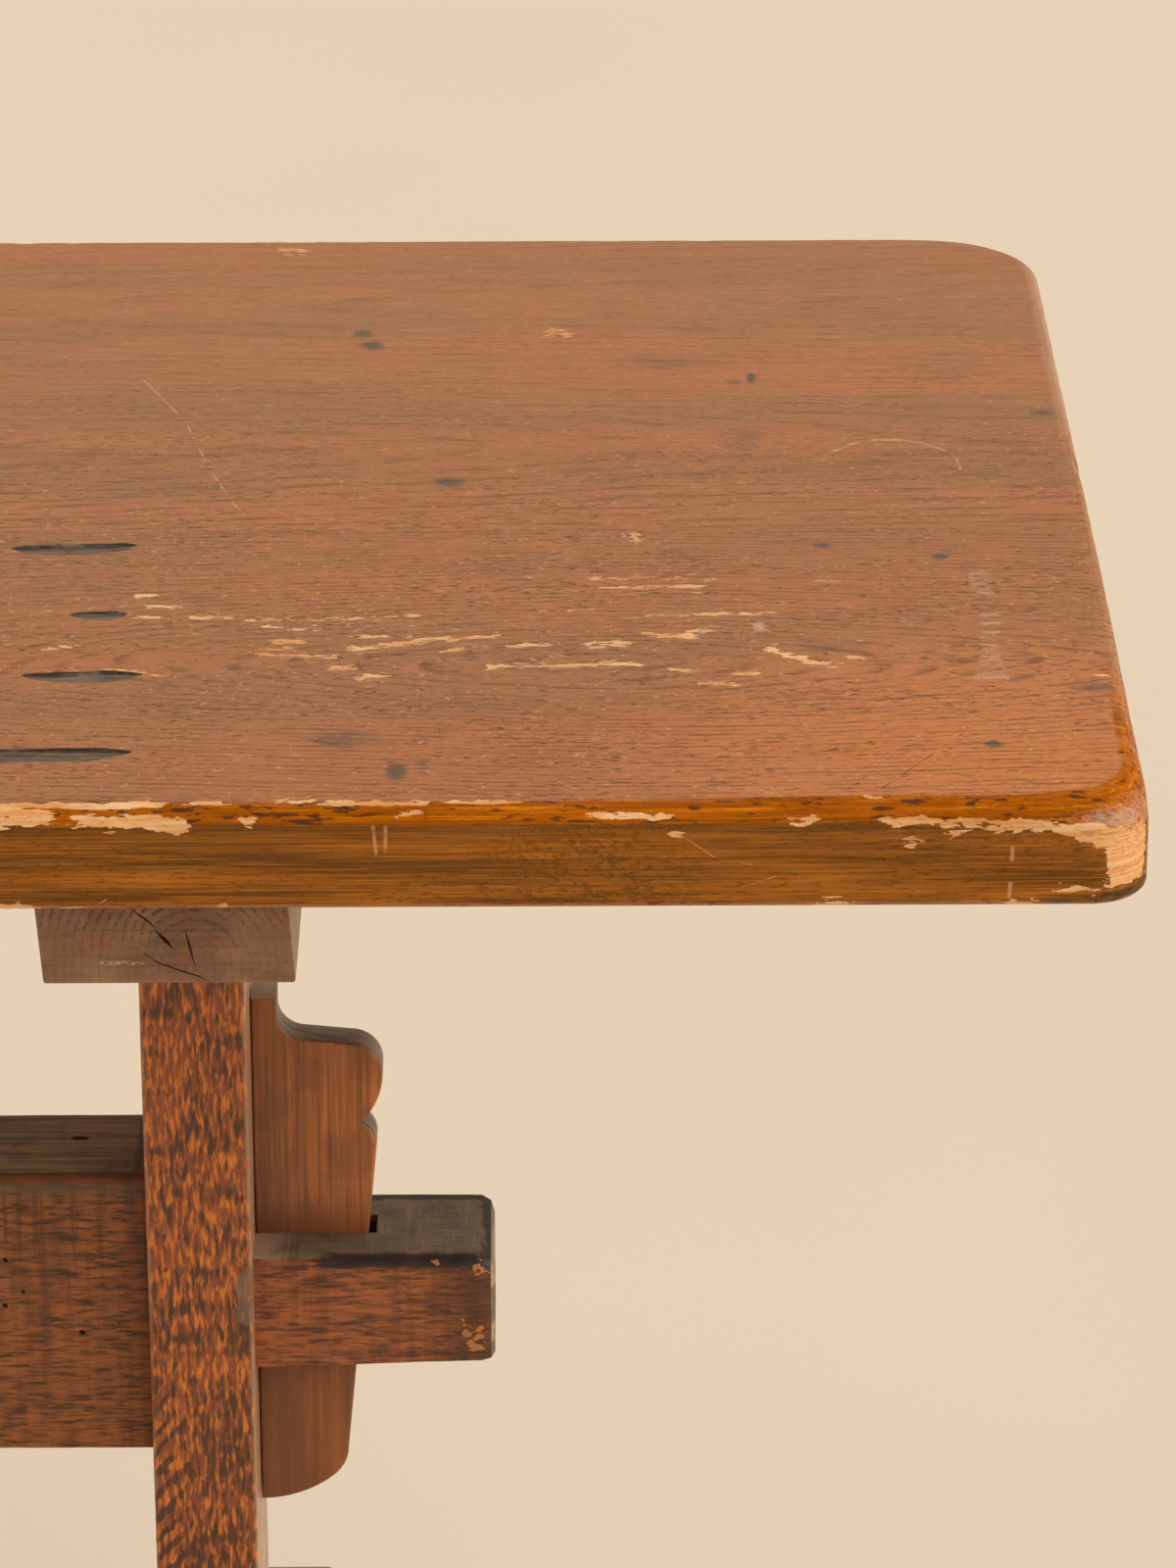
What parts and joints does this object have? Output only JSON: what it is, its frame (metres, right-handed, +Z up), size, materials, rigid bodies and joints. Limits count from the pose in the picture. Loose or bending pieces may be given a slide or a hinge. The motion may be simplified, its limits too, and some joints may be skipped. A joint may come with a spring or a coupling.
{
  "type": "trestle table",
  "caption": "Plank-topped wooden trestle table with a through-tenoned stretcher locked by removable tusk wedges, for dining or kitchen use.",
  "frame": {"origin": "on the floor, under the middle of the top", "axes": "+X along the top towards the pictured end, +Y towards the back edge, +Z up"},
  "size_m": [1.9, 0.68, 0.75],
  "materials": {
    "top_wood": "satin",
    "bare_wood": "matte",
    "batten_wood": "matte",
    "screw_steel": "dull",
    "post_wood": "satin",
    "foot_wood": "satin",
    "peg_wood": "matte",
    "stretcher_wood": "satin",
    "tusk_wood": "satin"
  },
  "bodies": {
    "frame": {"top_front_board": "top_wood", "top_middle_board": "top_wood", "top_back_board": "top_wood", "top_front_tongue": "bare_wood", "top_back_tongue": "bare_wood", "right_batten": "batten_wood", "left_batten": "batten_wood", "right_batten_screws": "screw_steel", "left_batten_screws": "screw_steel", "right_post": "post_wood", "left_post": "post_wood", "right_foot": "foot_wood", "left_foot": "foot_wood", "right_upper_pegs": "peg_wood", "left_upper_pegs": "peg_wood", "right_lower_pegs": "peg_wood", "left_lower_pegs": "peg_wood", "stretcher": "stretcher_wood"},
    "right_wedge": {"right_tusk": "tusk_wood"},
    "left_wedge": {"left_tusk": "tusk_wood"}
  },
  "joints": [
    {"name": "right_tusk_lift", "type": "slide", "parent": "frame", "child": "right_wedge", "axis": [0, 0, 1], "range_m": [0, 0.138]},
    {"name": "left_tusk_lift", "type": "slide", "parent": "frame", "child": "left_wedge", "axis": [0, 0, 1], "range_m": [0, 0.138]}
  ]
}
